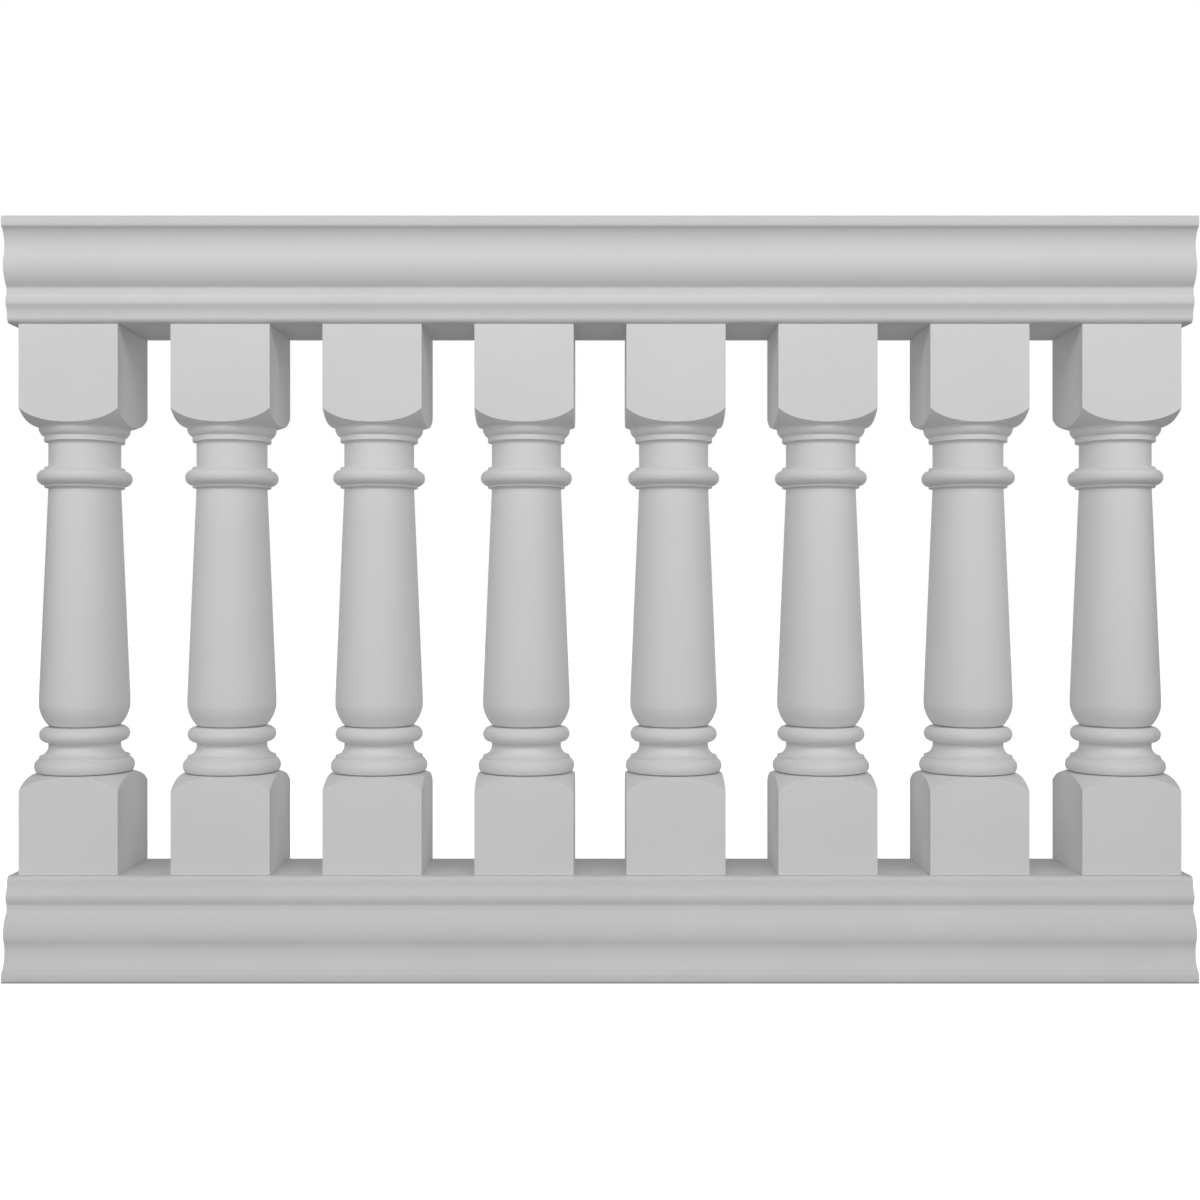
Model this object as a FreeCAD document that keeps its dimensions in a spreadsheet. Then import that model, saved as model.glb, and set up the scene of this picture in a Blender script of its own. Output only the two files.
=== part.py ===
import FreeCAD, Part
import math
import os
import re
import Sketcher

# A straight balustrade section: eight turned balusters standing between two moulded rails.
# Millimetres. X runs along the rails, the front looks towards -Y, and Z is up from the ground.
# The bottom rail is the top rail turned over, so the widest face of each lies away from the balusters.

BALUSTER_COUNT = 8

SIZES = {
    # Layout along the rails
    "rail_length": 1524,
    "end_margin": 12.7,

    # Rail: rises from one line of its moulding to the next, starting at the joint with the balusters
    "foot_edge_radius": 7,
    "bead_rise": 18.8,
    "quirk_rise": 12.2,
    "quirk_height": 5,
    "torus_rise": 29,
    "cove_rise": 23,
    "cove_height": 5,
    "band_rise": 22.5,
    "band_height": 10.85,

    # Rail: how far each of those lines stands back from the face of the band
    "rail_width": 177.8,
    "foot_setback": 19.6,
    "bead_setback": 14.4,
    "quirk_setback": 18.1,
    "torus_setback": 6.4,
    "cove_setback": 11.1,

    # Rail: radii that shape the courses
    "bead_radius": 7,
    "quirk_radius": 5,
    "nose_radius": 4.5,
    "band_edge_radius": 3,

    # Baluster: the square blocks at both ends and the round shoulders turned on them
    "baluster_height": 711.2,
    "block_width": 128,
    "block_edge_radius": 1.2,
    "corner_length": 108.4,
    "shoulder_radius": 55,
    "lower_block_length": 127.9,
    "lower_root_radius": 56,
    "upper_block_length": 127.8,
    "upper_root_radius": 57.9,
    "turning_clearance": 4,

    # Baluster: turned base, from the lower block upwards
    "base_quirk_height": 2.1,
    "base_torus_foot_radius": 62.1,
    "base_torus_radius": 63.6,
    "base_torus_rise": 5.55,
    "base_torus_fall": 10.3,
    "base_fillet_radius": 57.5,
    "base_fillet_height": 3.2,
    "scotia_height": 13.4,
    "base_neck_height": 4.8,
    "ring_radius": 57.4,
    "ring_height": 20.2,
    "waist_radius": 42,
    "waist_height": 2,

    # Baluster: tapered shaft
    "drop_height": 25.15,
    "drop_radius": 48,
    "shaft_radius": 57.6,
    "shaft_foot_height": 11.5,
    "neck_radius": 45.9,

    # Baluster: turned cap, from the upper block downwards
    "lip_height": 1.9,
    "ovolo_height": 11,
    "collar_radius": 51.1,
    "cap_fillet_height": 6.7,
    "neck_height": 33.8,
    "collar_height": 3.25,
    "astragal_radius": 60.5,
    "astragal_height": 20.1,
}

document = FreeCAD.newDocument("balustrade_section")
sheet = document.addObject("Spreadsheet::Sheet", "Sizes")
for row, (name, size) in enumerate(SIZES.items(), start=1):
    sheet.set("A%d" % row, name)
    sheet.set("B%d" % row, str(size))
    sheet.setAlias("B%d" % row, name)
document.recompute()


def bound(words):
    """An expression in the names of sizes, such as "neck_height + lip_height", as the sheet reads it."""
    return re.sub("[a-z_]+", lambda found: "Sizes." + found[0] if found[0] in SIZES else found[0], words)


def measure(words):
    """The value of such an expression in millimetres."""
    return float(sheet.evalExpression(bound(words)))


class Outline:
    """A closed sketch drawn corner by corner, each corner held by two expressions, across and up."""

    def __init__(self, body, role, label):
        self.sketch = body.newObject("Sketcher::SketchObject", label)
        self.sketch.AttachmentSupport = [(origin_plane(body, role), "")]
        self.sketch.MapMode = "FlatFace"
        self.first_end = None
        self.last_end = None

    def start(self, across, up):
        self.opening = (across, up)
        self.here = self.place(across, up)

    def place(self, across, up):
        return FreeCAD.Vector(measure(across), measure(up), 0)

    def constrain(self, *terms):
        return self.sketch.addConstraint(Sketcher.Constraint(*terms))

    def add(self, curve, start):
        """Adds a curve that begins at a point, and gives its number and its start and end marks."""
        index = self.sketch.addGeometry(curve, False)
        forward = self.sketch.getPoint(index, 1).isEqual(start, 1e-6)
        ends = (1, 2) if forward else (2, 1)
        return index, (index, ends[0]), (index, ends[1])

    def join(self, first, last):
        """Joins a new curve's first end to the outline and leaves its last end open."""
        if self.last_end is None:
            self.first_end = first
        else:
            self.constrain("Coincident", *self.last_end, *first)
        self.last_end = last

    def hold(self, mark, across, up):
        """Dimensions a corner from the sketch's origin, or puts it on an axis where it has no distance."""
        for kind, axis, words in (("DistanceX", -2, across), ("DistanceY", -1, up)):
            if words == "0":
                self.constrain("PointOnObject", *mark, axis)
            else:
                number = self.constrain(kind, -1, 1, *mark, measure(words))
                self.sketch.setExpression("Constraints[%d]" % number, bound(words))

    def line(self, across, up):
        """A straight line to the next corner."""
        there = self.place(across, up)
        index, first, last = self.add(Part.LineSegment(self.here, there), self.here)
        self.join(first, last)
        self.hold(last, across, up)
        self.here = there

    def bend(self, centre, there):
        """A circular arc about a centre from the outline's open end to a point."""
        spoke = (self.here - centre).normalize() + (there - centre).normalize()
        middle = centre + spoke.normalize() * (self.here - centre).Length
        index, first, last = self.add(Part.Arc(self.here, middle, there), self.here)
        return index, first, last

    def round(self, across, up, upright):
        """A circular arc to the next corner that stands upright at its "start" or its "end"."""
        there = self.place(across, up)
        chord = there - self.here
        reach = chord.Length ** 2 / (2 * chord.x)
        if upright == "start":
            centre = self.here + FreeCAD.Vector(reach, 0, 0)
        else:
            centre = there - FreeCAD.Vector(reach, 0, 0)
        index, first, last = self.bend(centre, there)
        self.join(first, last)
        self.hold(last, across, up)
        self.constrain("Horizontal", index, 3, *(first if upright == "start" else last))
        self.here = there

    def crown(self, across, up, radius):
        """A circular arc of a given radius to the next corner, with its centre on the left of the way."""
        there = self.place(across, up)
        chord = there - self.here
        inward = FreeCAD.Vector(-chord.y, chord.x, 0)
        depth = math.sqrt(measure(radius) ** 2 - chord.Length ** 2 / 4)
        centre = (self.here + there) * 0.5 + inward.normalize() * depth
        index, first, last = self.bend(centre, there)
        self.join(first, last)
        self.hold(last, across, up)
        number = self.constrain("Radius", index, measure(radius))
        self.sketch.setExpression("Constraints[%d]" % number, bound(radius))
        self.here = there

    def swing(self, across, up, first_radius=None, last_radius=None):
        """Two tangent arcs turning opposite ways, upright at both corners; one radius or equal ones."""
        there = self.place(across, up)
        chord = there - self.here
        reach = chord.Length ** 2 / (2 * abs(chord.x))
        if first_radius:
            share = measure(first_radius) / reach
        elif last_radius:
            share = 1 - measure(last_radius) / reach
        else:
            share = 0.5
        side = FreeCAD.Vector(math.copysign(reach, chord.x), 0, 0)
        first_centre = self.here + side * share
        last_centre = there - side * (1 - share)
        meeting = first_centre + (last_centre - first_centre) * share
        one, first, touch = self.bend(first_centre, meeting)
        self.join(first, touch)
        self.constrain("Horizontal", one, 3, *first)
        self.here = meeting
        two, touched, last = self.bend(last_centre, there)
        self.constrain("Tangent", *touch, *touched)
        self.last_end = last
        self.hold(last, across, up)
        self.constrain("Horizontal", two, 3, *last)
        if first_radius or last_radius:
            index = one if first_radius else two
            number = self.constrain("Radius", index, measure(first_radius or last_radius))
            self.sketch.setExpression("Constraints[%d]" % number, bound(first_radius or last_radius))
        else:
            self.constrain("Equal", one, two)
        self.here = there

    def close(self):
        """A straight line back to the first corner."""
        across, up = self.opening
        self.line(across, up)
        self.constrain("Coincident", *self.last_end, *self.first_end)
        return self.sketch


def origin_plane(body, role):
    """One of a body's own three origin planes."""
    return next(feature for feature in body.Origin.OriginFeatures if feature.Role == role)


def new_body(label):
    """An empty body with the label that names its file."""
    body = document.addObject("PartDesign::Body", label)
    body.Label = label
    return body


def rising(*names):
    """The sum of named sizes as one expression."""
    return " + ".join(names)


RAIL_RISES = ("foot_edge_radius", "bead_rise", "quirk_rise", "quirk_height", "torus_rise", "cove_rise",
              "cove_height", "band_rise")
RAIL_HEIGHT = rising(*RAIL_RISES, "band_height")


def rail_body(label):
    """A rail: half its moulding drawn from the joint outwards, padded along X and mirrored front to back."""
    body = new_body(label)
    half = Outline(body, "YZ_Plane", label + "_half_section")
    foot_face = "rail_width / 2 - foot_setback"
    half.start("0", "0")
    half.line(foot_face + " - foot_edge_radius", "0")
    half.round(foot_face, RAIL_RISES[0], upright="end")
    half.swing("rail_width / 2 - bead_setback", rising(*RAIL_RISES[:2]), last_radius="bead_radius")
    half.swing("rail_width / 2 - quirk_setback", rising(*RAIL_RISES[:3]), last_radius="quirk_radius")
    half.line("rail_width / 2 - quirk_setback", rising(*RAIL_RISES[:4]))
    half.swing("rail_width / 2 - torus_setback", rising(*RAIL_RISES[:5]), first_radius="quirk_radius")
    half.swing("rail_width / 2 - cove_setback", rising(*RAIL_RISES[:6]))
    half.line("rail_width / 2 - cove_setback", rising(*RAIL_RISES[:7]))
    half.swing("rail_width / 2", rising(*RAIL_RISES), last_radius="nose_radius")
    half.line("rail_width / 2", RAIL_HEIGHT + " - band_edge_radius")
    half.round("rail_width / 2 - band_edge_radius", RAIL_HEIGHT, upright="start")
    half.line("0", RAIL_HEIGHT)
    section = half.close()

    pad = body.newObject("PartDesign::Pad", label + "_half")
    pad.Profile = section
    pad.SideType = "Symmetric"
    pad.setExpression("Length", bound("rail_length"))
    document.recompute()

    whole = body.newObject("PartDesign::Mirrored", label + "_whole")
    whole.Originals = [pad]
    whole.MirrorPlane = (origin_plane(body, "XZ_Plane"), [""])
    body.Tip = whole
    return body


def baluster_body(label):
    """A baluster: a square billet with eased arrises, turned between its blocks by one groove."""
    body = new_body(label)
    square = Outline(body, "XY_Plane", label + "_square")
    square.start("-block_width / 2", "-block_width / 2")
    square.line("block_width / 2", "-block_width / 2")
    square.line("block_width / 2", "block_width / 2")
    square.line("-block_width / 2", "block_width / 2")
    billet = body.newObject("PartDesign::Pad", label + "_billet")
    billet.Profile = square.close()
    billet.setExpression("Length", bound("baluster_height"))
    document.recompute()

    arrises = []
    for number, edge in enumerate(billet.Shape.Edges, start=1):
        if abs(edge.tangentAt(edge.FirstParameter).z) > 0.5:
            arrises.append("Edge%d" % number)
    eased = body.newObject("PartDesign::Fillet", label + "_eased")
    eased.Base = (billet, arrises)
    eased.setExpression("Radius", bound("block_edge_radius"))
    document.recompute()

    cut = body.newObject("PartDesign::Groove", label + "_turning")
    cut.Profile = turned_outline(body, label + "_turned")
    cut.ReferenceAxis = (cut.Profile[0], ["V_Axis"])
    cut.Angle = 360
    return body


def turned_outline(body, label):
    """What the lathe takes off: the space between the turned profile and a cylinder round the billet."""
    corner = "block_width * sqrt(2) / 2"
    clear = corner + " + turning_clearance"
    turned = Outline(body, "XZ_Plane", label)
    turned.start(clear, "corner_length")
    turned.line(corner, "corner_length")
    turned.crown("lower_root_radius", "lower_block_length", "shoulder_radius")

    # Base: a narrow quirk over the block, torus, fillet, scotia and half-round ring
    level = "lower_block_length + base_quirk_height"
    turned.line("lower_root_radius", level)
    turned.line("base_torus_foot_radius", level)
    level = rising(level, "base_torus_rise")
    turned.round("base_torus_radius", level, upright="end")
    level = rising(level, "base_torus_fall")
    turned.round("base_fillet_radius", level, upright="start")
    level = rising(level, "base_fillet_height")
    turned.line("base_fillet_radius", level)
    level = rising(level, "scotia_height")
    turned.round("neck_radius", level, upright="end")
    level = rising(level, "base_neck_height")
    turned.line("neck_radius", level)
    level = rising(level, "ring_height / 2")
    turned.round("ring_radius", level, upright="end")
    level = rising(level, "ring_height / 2")
    turned.round("neck_radius", level, upright="start")

    # Shaft: a cut-in waist, a rounded drop, a short cylinder and a straight taper that ends under the cap
    turned.line("waist_radius", level)
    level = rising(level, "waist_height")
    turned.line("waist_radius", level)
    turned.line("neck_radius", level)
    level = rising(level, "drop_height")
    turned.crown("shaft_radius", level, "drop_radius")
    level = rising(level, "shaft_foot_height")
    turned.line("shaft_radius", level)
    cap_top = rising("upper_block_length", "lip_height", "ovolo_height", "cap_fillet_height")
    cap_foot = rising("neck_height", "astragal_height", "2 * collar_height")
    level = "baluster_height - (%s)" % rising(cap_top, cap_foot)
    turned.line("neck_radius", level)

    # Cap: astragal between two collars, plain neck, fillet, ovolo and lip
    turned.line("collar_radius", level)
    level = rising(level, "collar_height")
    turned.line("collar_radius", level)
    level = rising(level, "astragal_height / 2")
    turned.round("astragal_radius", level, upright="end")
    level = rising(level, "astragal_height / 2")
    turned.round("collar_radius", level, upright="start")
    level = rising(level, "collar_height")
    turned.line("collar_radius", level)
    turned.line("neck_radius", level)
    level = rising(level, "neck_height")
    turned.line("neck_radius", level)
    turned.line("collar_radius", level)
    level = rising(level, "cap_fillet_height")
    turned.line("collar_radius", level)
    level = rising(level, "ovolo_height")
    turned.round("upper_root_radius", level, upright="end")
    level = rising(level, "lip_height")
    turned.line("upper_root_radius", level)

    turned.crown(corner, "baluster_height - corner_length", "shoulder_radius")
    turned.line(clear, "baluster_height - corner_length")
    return turned.close()


# The bottom rail lies turned over, on the ground, with its joint face up
bottom_rail = rail_body("bottom_rail")
bottom_rail.Placement = FreeCAD.Placement(FreeCAD.Vector(), FreeCAD.Rotation(FreeCAD.Vector(1, 0, 0), 180))
bottom_rail.setExpression(".Placement.Base.z", bound(RAIL_HEIGHT))

top_rail = rail_body("top_rail")
top_rail.setExpression(".Placement.Base.z", bound(RAIL_HEIGHT + " + baluster_height"))

# The outer balusters stand a margin in from the rail's ends and the others at equal pitch between them
pieces = [bottom_rail, top_rail]
run = "rail_length - 2 * end_margin - block_width"
for number in range(BALUSTER_COUNT):
    baluster = baluster_body("baluster_%d" % (number + 1))
    share = "(%d / %d - 0.5)" % (number, BALUSTER_COUNT - 1)
    baluster.setExpression(".Placement.Base.x", bound("(%s) * %s" % (run, share)))
    baluster.setExpression(".Placement.Base.z", bound(RAIL_HEIGHT))
    pieces.append(baluster)

document.recompute()

for item in document.Objects:
    if "Invalid" in item.State or "Error" in item.State:
        raise RuntimeError("%s did not build: %s" % (item.Label, item.State))
for piece in pieces:
    if piece.Shape.isNull() or not piece.Shape.isValid() or len(piece.Shape.Solids) != 1:
        raise RuntimeError("%s is not one sound solid" % piece.Label)

os.makedirs("parts", exist_ok=True)
for piece in pieces:
    piece.Shape.exportStep("parts/%s.step" % piece.Label)
    box = piece.Shape.optimalBoundingBox()
    print(piece.Label, "%.0f cm3," % (piece.Shape.Volume / 1000),
          "%.2f x %.2f x %.2f mm" % (box.XLength, box.YLength, box.ZLength))
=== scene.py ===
# %% [markdown]
# A balustrade section is two moulded rails with a row of turned balusters standing between them. The frame
# already holds each piece as a solid of the right size, so this lesson only dresses it: the same forms are
# worked out again as fine, evenly divided surfaces, because soft light on long white mouldings shows every
# coarse facet. Everything is in metres in the frame's own axes: X along the rails, front towards -Y, Z up.

# %% Load the frame
import math
import bpy
import numpy as np
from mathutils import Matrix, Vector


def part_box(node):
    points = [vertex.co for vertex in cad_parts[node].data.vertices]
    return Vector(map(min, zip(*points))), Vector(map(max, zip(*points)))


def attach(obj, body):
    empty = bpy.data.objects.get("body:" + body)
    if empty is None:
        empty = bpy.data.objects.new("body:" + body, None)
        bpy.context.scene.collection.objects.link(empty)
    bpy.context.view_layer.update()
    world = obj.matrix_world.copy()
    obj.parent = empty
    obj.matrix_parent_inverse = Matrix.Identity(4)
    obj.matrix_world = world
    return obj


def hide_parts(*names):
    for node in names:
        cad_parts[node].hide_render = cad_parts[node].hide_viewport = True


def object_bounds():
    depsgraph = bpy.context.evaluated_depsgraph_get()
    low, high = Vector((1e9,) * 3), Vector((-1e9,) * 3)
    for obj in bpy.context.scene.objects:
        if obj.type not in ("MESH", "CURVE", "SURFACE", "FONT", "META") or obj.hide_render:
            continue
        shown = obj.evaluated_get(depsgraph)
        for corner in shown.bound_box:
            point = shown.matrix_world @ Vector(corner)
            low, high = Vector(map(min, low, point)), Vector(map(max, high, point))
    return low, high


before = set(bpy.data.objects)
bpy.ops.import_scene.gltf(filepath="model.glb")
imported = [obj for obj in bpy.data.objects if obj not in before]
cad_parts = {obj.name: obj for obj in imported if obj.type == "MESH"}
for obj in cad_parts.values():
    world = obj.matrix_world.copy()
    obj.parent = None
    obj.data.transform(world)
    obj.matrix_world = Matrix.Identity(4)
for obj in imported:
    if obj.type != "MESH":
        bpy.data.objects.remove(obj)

cad_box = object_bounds()
RAILS = ["bottom_rail", "top_rail"]
BALUSTERS = sorted(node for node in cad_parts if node.startswith("baluster_"))
print("frame box", cad_box, "balusters", len(BALUSTERS))

# %% [markdown]
# Both the rails and the balusters are mouldings: an outline of straight fillets and circular arcs, carried
# along a line for a rail and round an axis for a baluster. A spline drawn by eye would do, but arcs with
# stated radii keep the crisp change from hollow to round that gives a moulding its bands of light and shade.
# So the outline is a list of spans between corners, in millimetres, and each kind of span is one formula.

# %% Arcs and lines of a moulding
MM = 0.001
STEP = 1.5
FEWEST_STEPS = 3


def arc_about(centre, start, end):
    """Points centre + radius * (cos a, sin a), the angle a running evenly from the start to the end."""
    centre = np.asarray(centre, float)
    spokes = np.array([start, end], float) - centre
    angles = np.unwrap(np.arctan2(spokes[:, 1], spokes[:, 0]))
    radius = np.hypot(*spokes[0])
    count = max(FEWEST_STEPS, math.ceil(abs(angles[1] - angles[0]) * radius / STEP))
    turn = np.linspace(angles[0], angles[1], count + 1)[1:]
    return centre + radius * np.column_stack([np.cos(turn), np.sin(turn)])


def straight(here, there):
    """The end point alone: a line needs no points between its corners."""
    return np.array([there], float)


def round_out(here, there):
    """An arc upright at its end: the centre is level with the end, chord squared / (2 * across) inwards."""
    chord = np.subtract(there, here)
    return arc_about(there - np.array([chord @ chord / (2 * chord[0]), 0]), here, there)


def round_in(here, there):
    """An arc upright at its start: the centre is level with the start, chord squared / (2 * across) away."""
    chord = np.subtract(there, here)
    return arc_about(here + np.array([chord @ chord / (2 * chord[0]), 0]), here, there)


def crown_centre(here, there, radius):
    """Left of the way, sqrt(radius ^ 2 - half the chord ^ 2) from the middle of the chord."""
    chord = np.subtract(there, here)
    half_chord = np.hypot(*chord) / 2
    left = np.array([-chord[1], chord[0]]) / (2 * half_chord)
    return np.add(here, there) / 2 + left * math.sqrt(radius ** 2 - half_chord ** 2)


def crown(here, there, radius):
    """An arc of a given radius with its centre on the left of the way."""
    return arc_about(crown_centre(here, there, radius), here, there)


def swing(here, there, share):
    """Two tangent arcs, upright at both corners, their radii sharing chord squared / (2 * across)."""
    chord = np.subtract(there, here)
    reach = np.array([chord @ chord / (2 * chord[0]), 0])
    first, last = here + reach * share, there - reach * (1 - share)
    meeting = first + (last - first) * share
    return np.concatenate([arc_about(first, here, meeting), arc_about(last, meeting, there)])


def trace(start, spans):
    """All points of an outline: each span starts where the one before it ended."""
    points = np.array([start], float)
    for span, *terms in spans:
        points = np.concatenate([points, span(points[-1], *terms)])
    return points


def climb(steps):
    """The levels reached one after another, by name: a running sum of the named steps."""
    return dict(zip(steps, np.cumsum(list(steps.values()))))


print("spans", [span.__name__ for span in (straight, round_out, round_in, crown, swing)])

# %% [markdown]
# The rail's face, from the joint with the balusters outwards, is a rounded foot, a small cove, a bead, a
# flat-bottomed quirk, a broad torus, a cove that ends in a crease, and a flat band with a rounded nose. Its
# lines are given by how far they stand back from the band and how far each rises above the one before. One
# face is enough: the other is its mirror image.

# %% One face of the rail
low, high = (np.array(corner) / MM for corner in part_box("top_rail"))
rail_length, rail_width, rail_height = high - low
SETBACKS = {"foot": 19.6, "bead": 14.4, "quirk": 18.1, "quirk_end": 18.1, "torus": 6.4, "cove": 11.1,
            "cove_end": 11.1, "crease": 3.1, "band": 0}
RISES = {"foot": 7, "bead": 18.8, "quirk": 12.2, "quirk_end": 5, "torus": 29, "cove": 23, "cove_end": 2,
         "crease": 21.2, "band": 4.3}
BEAD_RADIUS, QUIRK_RADIUS, BAND_EDGE_RADIUS = 7, 5, 3
EVEN_SHARE = 0.5


def share_of(radius, here, there):
    """The share that a radius has in the sum of a swing's two radii, chord squared / (2 * across)."""
    chord = np.subtract(there, here)
    return radius * 2 * abs(chord[0]) / (chord @ chord)


def rail_face():
    """The moulded face as points (out from the middle, up from the joint), in millimetres."""
    level = climb(RISES)
    line = {name: (rail_width / 2 - SETBACKS[name], level[name]) for name in RISES}
    edge_start = (rail_width / 2, rail_height - BAND_EDGE_RADIUS)
    edge_end = (rail_width / 2 - BAND_EDGE_RADIUS, rail_height)
    return trace((line["foot"][0] - RISES["foot"], 0), [
        (round_out, line["foot"]),
        (swing, line["bead"], 1 - share_of(BEAD_RADIUS, line["foot"], line["bead"])),
        (swing, line["quirk"], 1 - share_of(QUIRK_RADIUS, line["bead"], line["quirk"])),
        (straight, line["quirk_end"]),
        (swing, line["torus"], share_of(QUIRK_RADIUS, line["quirk_end"], line["torus"])),
        (swing, line["cove"], EVEN_SHARE),
        (straight, line["cove_end"]),
        (round_in, line["crease"]),
        (round_out, line["band"]),
        (straight, edge_start),
        (round_in, edge_end),
    ])


face = rail_face()
print("rail face", len(face), "points, from", face[0].round(2), "to", face[-1].round(2), "mm")

# %% [markdown]
# A rail is that face and its mirror image joined into a loop and carried along X. The grid has one row of
# points for each station along the rail, and the square-cut ends are closed by strips that run across from
# each point of the front to its twin at the back, so no end is left open and no face has many corners. The
# bottom rail is the same moulding turned over.

# %% Rails as a loop carried along X
STATIONS = 25
SMOOTH_BELOW = 30


def mesh_piece(name, points, faces):
    """An object at the origin from points in millimetres, smooth where faces meet at a small angle."""
    mesh = bpy.data.meshes.new(name)
    mesh.from_pydata((points * MM).tolist(), [], faces)
    mesh.shade_smooth()
    mesh.set_sharp_from_angle(angle=math.radians(SMOOTH_BELOW))
    piece = bpy.data.objects.new(name, mesh)
    bpy.context.scene.collection.objects.link(piece)
    return piece


def grid_faces(rows, columns):
    """Quads of a grid whose columns close into a ring: its points are numbered row * columns + column."""
    row, column = np.meshgrid(np.arange(rows - 1), np.arange(columns), indexing="ij")
    beside = (column + 1) % columns
    corners = [row * columns + column, row * columns + beside,
               (row + 1) * columns + beside, (row + 1) * columns + column]
    return np.stack(corners, axis=-1).reshape(-1, 4)


def rail_piece(node):
    """Point (station, k) = (x of the station, y and z of loop point k).

    The rail that is turned over has each loop point (y, z) at (-y, height - z).
    """
    low, high = (np.array(corner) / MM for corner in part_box(node))
    loop = np.concatenate([face, face[::-1] * (-1, 1)])
    if node == "bottom_rail":
        loop = (0, rail_height) - loop
    stations = np.linspace(low[0], high[0], STATIONS)
    points = np.empty((STATIONS, len(loop), 3))
    points[:, :, 0] = stations[:, None]
    points[:, :, 1:] = loop + (0, low[2])
    near = np.arange(len(face) - 1)
    far = len(loop) - 1 - near
    strips = np.column_stack([near, near + 1, far - 1, far])
    caps = np.concatenate([strips[:, ::-1], strips + (STATIONS - 1) * len(loop)])
    faces = np.concatenate([grid_faces(STATIONS, len(loop)), caps])
    return mesh_piece(node + "_moulding", points.reshape(-1, 3), faces.tolist())


pieces = {node: rail_piece(node) for node in RAILS}
print("rails", {node: len(piece.data.polygons) for node, piece in pieces.items()}, "faces")

# %% [markdown]
# A baluster starts as a square billet, and a lathe rounds everything between its two blocks: a base with a
# torus, a scotia and a ring, a shaft that swells to a drop at its foot and tapers upwards, and a cap with an
# astragal and an ovolo. The outline could be turned by the Screw modifier, but the blocks have to join it
# later, so it is kept as plain points (radius, height). The steps of the base are counted up from the foot
# and those of the cap down from the top, as a turner marks them out from both ends.

# %% The turned outline
low, high = (np.array(corner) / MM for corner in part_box(BALUSTERS[0]))
half_width = (high[0] - low[0]) / 2
baluster_height = high[2] - low[2]
LOWER_ROOT, UPPER_ROOT = 56, 57.9
TORUS_FOOT, TORUS, FILLET, RING, WAIST, SHAFT = 61.2, 63.6, 57.5, 57.4, 42, 57.6
NECK, COLLAR, ASTRAGAL = 45.9, 51.1, 60.5
DROP_RADIUS = 48
UP_FROM_FOOT = climb({
    "block": 127.1, "torus_foot": 1.3, "torus": 7.15, "fillet": 10.3, "scotia": 3.2, "neck": 13.4,
    "ring_foot": 4.8, "ring": 10.1, "ring_top": 10.1, "waist": 2, "drop": 25.15, "shaft": 11.5})
DOWN_FROM_TOP = climb({
    "block": 127.8, "lip": 1.9, "fillet": 11, "neck_top": 6.7, "neck": 33.8, "upper_collar": 3.25,
    "astragal": 10.05, "lower_collar": 10.05, "shaft": 3.25})


def turned_outline():
    """The lathe's profile as points (radius, height) from the lower shoulder's root to the upper one's."""
    base = UP_FROM_FOOT
    cap = {name: baluster_height - depth for name, depth in DOWN_FROM_TOP.items()}
    return trace((LOWER_ROOT, base["block"]), [
        (straight, (TORUS_FOOT, base["torus_foot"])),
        (round_out, (TORUS, base["torus"])),
        (round_in, (FILLET, base["fillet"])),
        (straight, (FILLET, base["scotia"])),
        (round_out, (NECK, base["neck"])),
        (straight, (NECK, base["ring_foot"])),
        (round_out, (RING, base["ring"])),
        (round_in, (NECK, base["ring_top"])),
        (straight, (WAIST, base["ring_top"])),
        (straight, (WAIST, base["waist"])),
        (straight, (NECK, base["waist"])),
        (crown, (SHAFT, base["drop"]), DROP_RADIUS),
        (straight, (SHAFT, base["shaft"])),
        (straight, (NECK, cap["shaft"])),
        (straight, (COLLAR, cap["shaft"])),
        (straight, (COLLAR, cap["lower_collar"])),
        (round_out, (ASTRAGAL, cap["astragal"])),
        (round_in, (COLLAR, cap["upper_collar"])),
        (straight, (COLLAR, cap["neck"])),
        (straight, (NECK, cap["neck"])),
        (straight, (NECK, cap["neck_top"])),
        (straight, (COLLAR, cap["neck_top"])),
        (straight, (COLLAR, cap["fillet"])),
        (round_out, (UPPER_ROOT, cap["lip"])),
        (straight, (UPPER_ROOT, cap["block"])),
    ])


outline = turned_outline()
print("turned outline", len(outline), "points, greatest radius", outline[:, 0].max().round(2), "mm")

# %% [markdown]
# Where the round shoulder runs out into the flat sides of a block, the lathe leaves an arched edge on each
# face. A boolean cut would make that edge out of ragged triangles. Instead every column of the grid first
# climbs its flat side, turns exactly on the arched edge, and then follows the shoulder inwards, so a line of
# the grid lies along the edge. The columns are spaced evenly along each side of the square.

# %% Columns round the billet and rows up a block
SIDES = 4
SIDE_COLUMNS = 28
FACE_ROWS = 6
SHOULDER_ROWS = 8
CORNER_LENGTH, SHOULDER_RADIUS = 108.4, 55

along_side = np.linspace(-half_width, half_width, SIDE_COLUMNS, endpoint=False)
side_angle = np.arctan2(along_side, half_width)
around = np.concatenate([side_angle + side * math.tau / SIDES for side in range(SIDES)])
billet_radius = np.tile(np.hypot(along_side, half_width), SIDES)


def block_rows(root, length):
    """Radius and height of a block's rows, from its end: up the flat side, then in along the shoulder.

    The shoulder's height at a radius is centre height + sqrt(shoulder radius ^ 2 - (radius - centre) ^ 2).
    """
    corner = (half_width * math.sqrt(2), CORNER_LENGTH)
    centre = crown_centre(corner, (root, length), SHOULDER_RADIUS)
    flat = np.linspace(0, 1, FACE_ROWS + 1)[:-1, None]
    inwards = np.linspace(0, 1, SHOULDER_ROWS + 1)[:-1, None]
    crest = billet_radius + (root - billet_radius) * inwards
    crest_height = centre[1] + np.sqrt(SHOULDER_RADIUS ** 2 - (crest - centre[0]) ** 2)
    radius = np.concatenate([np.tile(billet_radius, (FACE_ROWS, 1)), crest])
    height = np.concatenate([crest_height[0] * flat, crest_height])
    return radius, height


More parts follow.
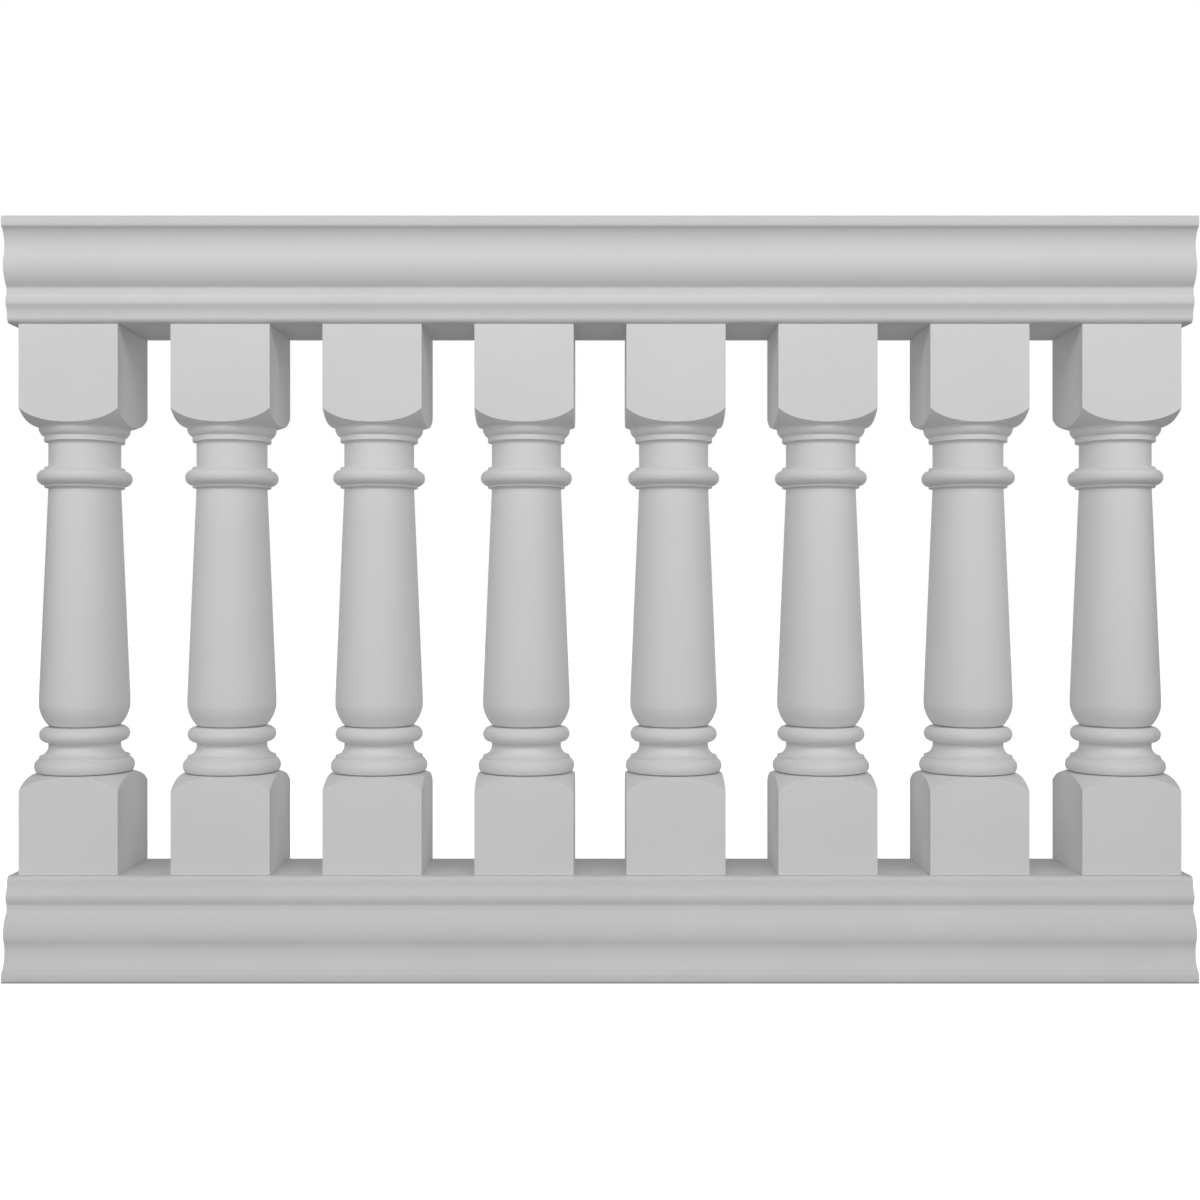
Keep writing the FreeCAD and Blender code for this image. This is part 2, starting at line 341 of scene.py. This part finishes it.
lower_block = block_rows(LOWER_ROOT, UP_FROM_FOOT["block"])
upper_block = block_rows(UPPER_ROOT, DOWN_FROM_TOP["block"])
arch = lower_block[1][FACE_ROWS]
print("arched edge", arch.min().round(1), "to", arch.max().round(1), "mm up")

# %% [markdown]
# A whole baluster is then one closed grid: the rows of the lower block, the rows of the turned outline and
# the rows of the upper block in reverse, with one flat face on each end where it stands against a rail.

# %% Balusters as one closed grid each
def baluster_piece(node):
    """Point (row, column) = axis + radius * (cos, sin) of the column's angle, at the row's height."""
    low, high = (np.array(corner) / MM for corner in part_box(node))
    turned_radius, turned_height = (np.broadcast_to(values[:, None], (len(values), len(around)))
                                    for values in outline.T)
    radius = np.concatenate([lower_block[0], turned_radius, upper_block[0][::-1]])
    height = np.concatenate([lower_block[1], turned_height, baluster_height - upper_block[1][::-1]])
    rows, columns = radius.shape
    points = np.stack([radius * np.cos(around), radius * np.sin(around), height], axis=-1)
    points += ((low[0] + high[0]) / 2, (low[1] + high[1]) / 2, low[2])
    ends = [list(range(columns))[::-1], list(range((rows - 1) * columns, rows * columns))]
    faces = grid_faces(rows, columns).tolist() + ends
    return mesh_piece(node + "_turning", points.reshape(-1, 3), faces)


pieces.update({node: baluster_piece(node) for node in BALUSTERS})
print("balusters", len(BALUSTERS), "of", len(pieces[BALUSTERS[0]].data.polygons), "faces")

# %% [markdown]
# No moulded edge is a knife edge: the mould and the paint both ease it by about half a millimetre, and that
# thin strip is what catches the light. The rails' ends are cut with a saw after moulding, so only the primer
# rounds them. The Bevel modifier finds the sharp edges by their angle, so one width serves a whole piece.

# %% Ease the arrises
MOULDED_ARRIS, SAWN_ARRIS = 0.5, 0.4
ARRIS_SEGMENTS = 2
SHARP_ABOVE = 35


def ease_arrises(piece, width):
    """A rounded strip of a few segments in place of every edge that turns by more than the limit."""
    bevel = piece.modifiers.new("eased arrises", "BEVEL")
    bevel.width = width * MM
    bevel.segments = ARRIS_SEGMENTS
    bevel.limit_method = "ANGLE"
    bevel.angle_limit = math.radians(SHARP_ABOVE)
    bevel.harden_normals = True


for node, piece in pieces.items():
    ease_arrises(piece, SAWN_ARRIS if node in RAILS else MOULDED_ARRIS)
    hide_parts(node)
    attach(piece, "root")
print("eased", len(pieces), "pieces by", SAWN_ARRIS, "and", MOULDED_ARRIS, "mm")

# %% [markdown]
# Colours are written the way a paint chart gives them, as sRGB hex values, but Blender's shaders work in
# linear light. One function turns the first into the second, and another adds any node with its settings and
# links, so each material below reads as a list of what feeds what.

# %% Colours and nodes
WHITE = "#FFFFFF"


def linear(hex_colour):
    """A hex colour in linear light: channel / 12.92 when dark, or else ((channel + 0.055) / 1.055) ^ 2.4."""
    channels = np.array([int(hex_colour[place:place + 2], 16) for place in (1, 3, 5)]) / 255
    bright = np.where(channels <= 0.04045, channels / 12.92, ((channels + 0.055) / 1.055) ** 2.4)
    return (*bright.tolist(), 1.0)


def add_node(tree, kind, settings=(), links=()):
    """Adds a node, sets its properties or sockets by name, and links (from node, its output, own input)."""
    node = tree.nodes.new(kind)
    for name, value in dict(settings).items():
        if isinstance(name, int) or name in node.inputs:
            node.inputs[name].default_value = value
        else:
            setattr(node, name, value)
    for source, output, entry in links:
        tree.links.new(source.outputs[output], node.inputs[entry])
    return node


print("white in linear light", linear(WHITE))

# %% [markdown]
# The section is rigid polyurethane foam cast in moulds and sprayed with a matt white primer. The eye reads a
# soft, even, neutral white: almost no gloss, a faint orange-peel from the spray, a slow waviness from the
# mould and a tone that is never quite the same from one hand's breadth to the next. The rails are given
# tones a shade greyer than the balusters'. One function makes the coat, so the two finishes differ only in
# the tones that it is given.

# %% Primed cast polyurethane
# Sizes and depths are in millimetres: a hand's breadth for the tone, a thumb's length for the mould's waves.
DRIFT_SIZE, WAVE_SIZE = 140, 45
WAVE_DEPTH = 0.1
# Real orange-peel is one to two millimetres across: too fine for the render, so it is drawn at five.
PEEL_SIZE, PEEL_DEPTH = 5, 0.06
NOISE_DETAIL = 2.0
SHEEN_LOW, SHEEN_HIGH = 0.55, 0.68
POLYMER_IOR = 1.48
RAIL_TONES = ("#D8D8D8", "#E0E0E0")
BALUSTER_TONES = ("#E0E0E0", "#E8E8E8")


def primed_polyurethane(name, dark_tone, light_tone):
    """Sprayed primer: its tone drifts slowly, the mould gives it waves and the spray an orange-peel."""
    material = bpy.data.materials.new(name)
    material.use_nodes = True
    tree = material.node_tree
    tree.nodes.clear()
    place = add_node(tree, "ShaderNodeTexCoord")
    drift, wave, peel = (
        add_node(tree, "ShaderNodeTexNoise", {"Scale": 1 / (size * MM), "Detail": NOISE_DETAIL},
                 [(place, "Object", "Vector")])
        for size in (DRIFT_SIZE, WAVE_SIZE, PEEL_SIZE))
    tone = add_node(tree, "ShaderNodeMix",
                    {"data_type": "RGBA", 6: linear(dark_tone), 7: linear(light_tone)},
                    [(drift, "Fac", 0)])
    swell = add_node(tree, "ShaderNodeBump", {"Distance": WAVE_DEPTH * MM}, [(wave, "Fac", "Height")])
    stipple = add_node(tree, "ShaderNodeBump", {"Distance": PEEL_DEPTH * MM},
                       [(peel, "Fac", "Height"), (swell, "Normal", "Normal")])
    sheen = add_node(tree, "ShaderNodeMapRange", {"To Min": SHEEN_LOW, "To Max": SHEEN_HIGH},
                     [(peel, "Fac", "Value")])
    shader = add_node(tree, "ShaderNodeBsdfPrincipled", {"IOR": POLYMER_IOR},
                      [(tone, 2, "Base Color"), (sheen, "Result", "Roughness"),
                       (stipple, "Normal", "Normal")])
    add_node(tree, "ShaderNodeOutputMaterial", (), [(shader, "BSDF", "Surface")])
    return material


rail_primer = primed_polyurethane("primer_on_cast_polyurethane_rails", *RAIL_TONES)
baluster_primer = primed_polyurethane("primer_on_cast_polyurethane_balusters", *BALUSTER_TONES)
for node, piece in pieces.items():
    piece.data.materials.append(rail_primer if node in RAILS else baluster_primer)
print("finishes", rail_primer.name, baluster_primer.name)

# %% [markdown]
# The section stands on white paper that shows no shadow. A plain sheet would turn grey away from the lamps
# and would hold back the light from below, so this one glows and only the camera sees it. A black card, a
# little larger than the rail, lies on it out of the camera's sight. It keeps the low light off the bottom
# edge and so draws the thin dark line that an edge has where it meets the ground.

# %% Floor
# The floor's reach is in metres and the card's margin in millimetres.
FLOOR_REACH, FLOOR_GLOW, FLOOR_TONE = 30.0, 0.97, "#D0D0D0"
CARD_MARGIN, CARD_GLOW, CARD_TONE = 3, 0, "#202020"
CORNER_SIGNS = np.array([(-1, -1, 0), (1, -1, 0), (1, 1, 0), (-1, 1, 0)])


def level_sheet(name, reach_along, reach_across, tone, glow):
    """A rectangle of paper on the ground, corners at (+-along, +-across), that reflects and may glow."""
    mesh = bpy.data.meshes.new(name)
    corners = CORNER_SIGNS * (reach_along, reach_across, 0)
    mesh.from_pydata(corners.tolist(), [], [(0, 1, 2, 3)])
    material = bpy.data.materials.new(name + "_paper")
    material.use_nodes = True
    tree = material.node_tree
    tree.nodes.clear()
    paper = add_node(tree, "ShaderNodeBsdfDiffuse", {"Color": linear(tone)})
    light = add_node(tree, "ShaderNodeEmission", {"Color": linear(WHITE), "Strength": glow})
    both = add_node(tree, "ShaderNodeAddShader", (), [(paper, "BSDF", 0), (light, "Emission", 1)])
    add_node(tree, "ShaderNodeOutputMaterial", (), [(both, "Shader", "Surface")])
    mesh.materials.append(material)
    sheet = bpy.data.objects.new(name, mesh)
    bpy.context.scene.collection.objects.link(sheet)
    return sheet


floor = level_sheet("floor", FLOOR_REACH, FLOOR_REACH, FLOOR_TONE, FLOOR_GLOW)
floor.visible_diffuse = False
floor.visible_glossy = False
floor.visible_shadow = False
card = level_sheet("black_card", (rail_length / 2 + CARD_MARGIN) * MM, (rail_width / 2 + CARD_MARGIN) * MM,
                   CARD_TONE, CARD_GLOW)
card.visible_camera = False
print("sheets", [(sheet.name, [round(side, 3) for side in sheet.dimensions]) for sheet in (floor, card)])

# %% [markdown]
# Part of the studio light comes from soft boxes, which are large lit screens: one low in front fills the
# undersides, a pair level with the section evens out the front, and a pair behind the two ends lifts the
# edges of the shafts. Built as lamps they would need many samples, so they are painted on the world as soft
# spots instead. The camera sees plain white there.

# %% Soft boxes
# Each box has its angle above the horizon and its turn from the front, both in degrees, and its strength.
BOXES = {
    "low_in_front": (-30, 0, 0.84),
    "level_in_front": (0, 30, 0.41),
    "behind_both_ends": (0, 150, 1.0),
}
BOX_SHARPNESS = 5


def box_direction(height_angle, turn_angle):
    """Unit vector at an angle above the horizon, turned by another from the front towards the side."""
    rise, turn = math.radians(height_angle), math.radians(turn_angle)
    return (math.cos(rise) * math.sin(turn), -math.cos(rise) * math.cos(turn), math.sin(rise))


def studio_boxes():
    """Brightness in a direction: the sum over the boxes of strength * exp(sharpness * (cosine to it - 1)).

    The side distance is taken without its sign, so each box stands on the left and on the right.
    """
    world = bpy.data.worlds.new("studio")
    bpy.context.scene.world = world
    world.use_nodes = True
    tree = world.node_tree
    tree.nodes.clear()
    place = add_node(tree, "ShaderNodeTexCoord")
    way = add_node(tree, "ShaderNodeSeparateXYZ", (), [(place, "Generated", "Vector")])
    aside = add_node(tree, "ShaderNodeMath", {"operation": "ABSOLUTE"}, [(way, "X", 0)])
    half = add_node(tree, "ShaderNodeCombineXYZ", (),
                    [(aside, "Value", "X"), (way, "Y", "Y"), (way, "Z", "Z")])
    total = add_node(tree, "ShaderNodeValue")
    total.outputs["Value"].default_value = 0
    for height_angle, turn_angle, strength in BOXES.values():
        cosine = add_node(tree, "ShaderNodeVectorMath",
                          {"operation": "DOT_PRODUCT", 1: box_direction(height_angle, turn_angle)},
                          [(half, "Vector", 0)])
        fall = add_node(tree, "ShaderNodeMath",
                        {"operation": "MULTIPLY_ADD", 1: BOX_SHARPNESS, 2: -BOX_SHARPNESS},
                        [(cosine, "Value", 0)])
        glow = add_node(tree, "ShaderNodeMath", {"operation": "EXPONENT"}, [(fall, "Value", 0)])
        total = add_node(tree, "ShaderNodeMath", {"operation": "MULTIPLY_ADD", 1: strength},
                         [(glow, "Value", 0), (total, "Value", 2)])
    boxes = add_node(tree, "ShaderNodeBackground", (), [(total, "Value", "Strength")])
    paper = add_node(tree, "ShaderNodeBackground", {"Color": linear(WHITE)})
    seen = add_node(tree, "ShaderNodeLightPath")
    mix = add_node(tree, "ShaderNodeMixShader", (),
                   [(seen, "Is Camera Ray", 0), (boxes, "Background", 1), (paper, "Background", 2)])
    add_node(tree, "ShaderNodeOutputWorld", (), [(mix, "Shader", "Surface")])


studio_boxes()
bpy.context.scene.view_settings.view_transform = "Standard"
print("soft boxes", BOXES)

# %% [markdown]
# Most of the light comes from one very long lamp in front and high above, so every ring and ledge casts a
# soft shadow straight down. A weak lamp nearer to the top rail lights the upper blocks more than the lower
# ones. A third shines almost level on to the back, for views from behind. It gives no gloss, because at such
# a flat angle its gloss would light up every ledge that is seen from the front.

# %% Lamps
# Places, lengths and depths are in metres, and the back lamp's spread is in degrees.
STRIP_WATTS, STRIP_LENGTH, STRIP_DEPTH = 192, 12.0, 2.0
STRIP_PLACE, STRIP_AIM = (0, -4.0, 4.0), (0, 0, 0.5)
NEAR_WATTS, NEAR_LENGTH, NEAR_DEPTH = 5.3, 6.0, 0.4
NEAR_PLACE, NEAR_AIM = (0, -1.0, 1.3), (0, 0, 0.6)
BACK_STRENGTH, BACK_SPREAD = 0.7, 4
BACK_PLACE, BACK_AIM = (0, 10.0, 1.0), (0, 0, 0.5)


def hang_lamp(name, kind, place, aim, settings):
    """A lamp tilted down by the angle whose tangent is the way across to its aim over the drop to it."""
    lamp = bpy.data.lights.new(name, kind)
    for setting, value in settings.items():
        setattr(lamp, setting, value)
    holder = bpy.data.objects.new(name, lamp)
    holder.location = place
    holder.rotation_euler = (math.atan2(aim[1] - place[1], place[2] - aim[2]), 0, 0)
    holder.visible_camera = False
    bpy.context.scene.collection.objects.link(holder)
    return holder


strip = hang_lamp("strip_lamp", "AREA", STRIP_PLACE, STRIP_AIM, {
    "shape": "RECTANGLE", "size": STRIP_LENGTH, "size_y": STRIP_DEPTH, "energy": STRIP_WATTS})
near = hang_lamp("near_lamp", "AREA", NEAR_PLACE, NEAR_AIM, {
    "shape": "RECTANGLE", "size": NEAR_LENGTH, "size_y": NEAR_DEPTH, "energy": NEAR_WATTS})
back = hang_lamp("back_lamp", "SUN", BACK_PLACE, BACK_AIM, {
    "angle": math.radians(BACK_SPREAD), "energy": BACK_STRENGTH})
back.visible_glossy = False
print("lamps", [(lamp.name, round(math.degrees(lamp.rotation_euler.x))) for lamp in (strip, near, back)])

# %% [markdown]
# The photograph looks straight at the middle of the section. Its frame is 1200 pixels square and the focal
# length measured from the perspective of the rails and blocks is 1500 pixels, which on a 36 mm sensor is a
# 45 mm lens two metres away. The middle lies half a pixel above the centre of the frame, so the lens is
# shifted by that much.

# %% Camera
FRAME_PIXELS, FOCAL_PIXELS = 1200, 1500
SENSOR_WIDTH = 36
CAMERA_DISTANCE = 1.9964
AXIS_ABOVE_CENTRE_PIXELS = 0.5


def photograph_camera():
    """A level camera in front of the section's middle, its lens = sensor width * focal length / frame."""
    camera = bpy.data.cameras.new("photograph")
    camera.sensor_width = SENSOR_WIDTH
    camera.lens = SENSOR_WIDTH * FOCAL_PIXELS / FRAME_PIXELS
    camera.shift_y = -AXIS_ABOVE_CENTRE_PIXELS / FRAME_PIXELS
    holder = bpy.data.objects.new("photograph", camera)
    middle = (np.array(cad_box[0]) + np.array(cad_box[1])) / 2
    holder.location = (middle[0], middle[1] - CAMERA_DISTANCE, middle[2])
    holder.rotation_euler = (math.pi / 2, 0, 0)
    bpy.context.scene.collection.objects.link(holder)
    bpy.context.scene.camera = holder
    return holder


camera = photograph_camera()
print("camera", tuple(round(value, 4) for value in camera.location), camera.data.lens, "mm")

# %% [markdown]
# The dressed section has to fill the same box as the solids that it covers.

# %% Finish
bpy.context.view_layer.update()
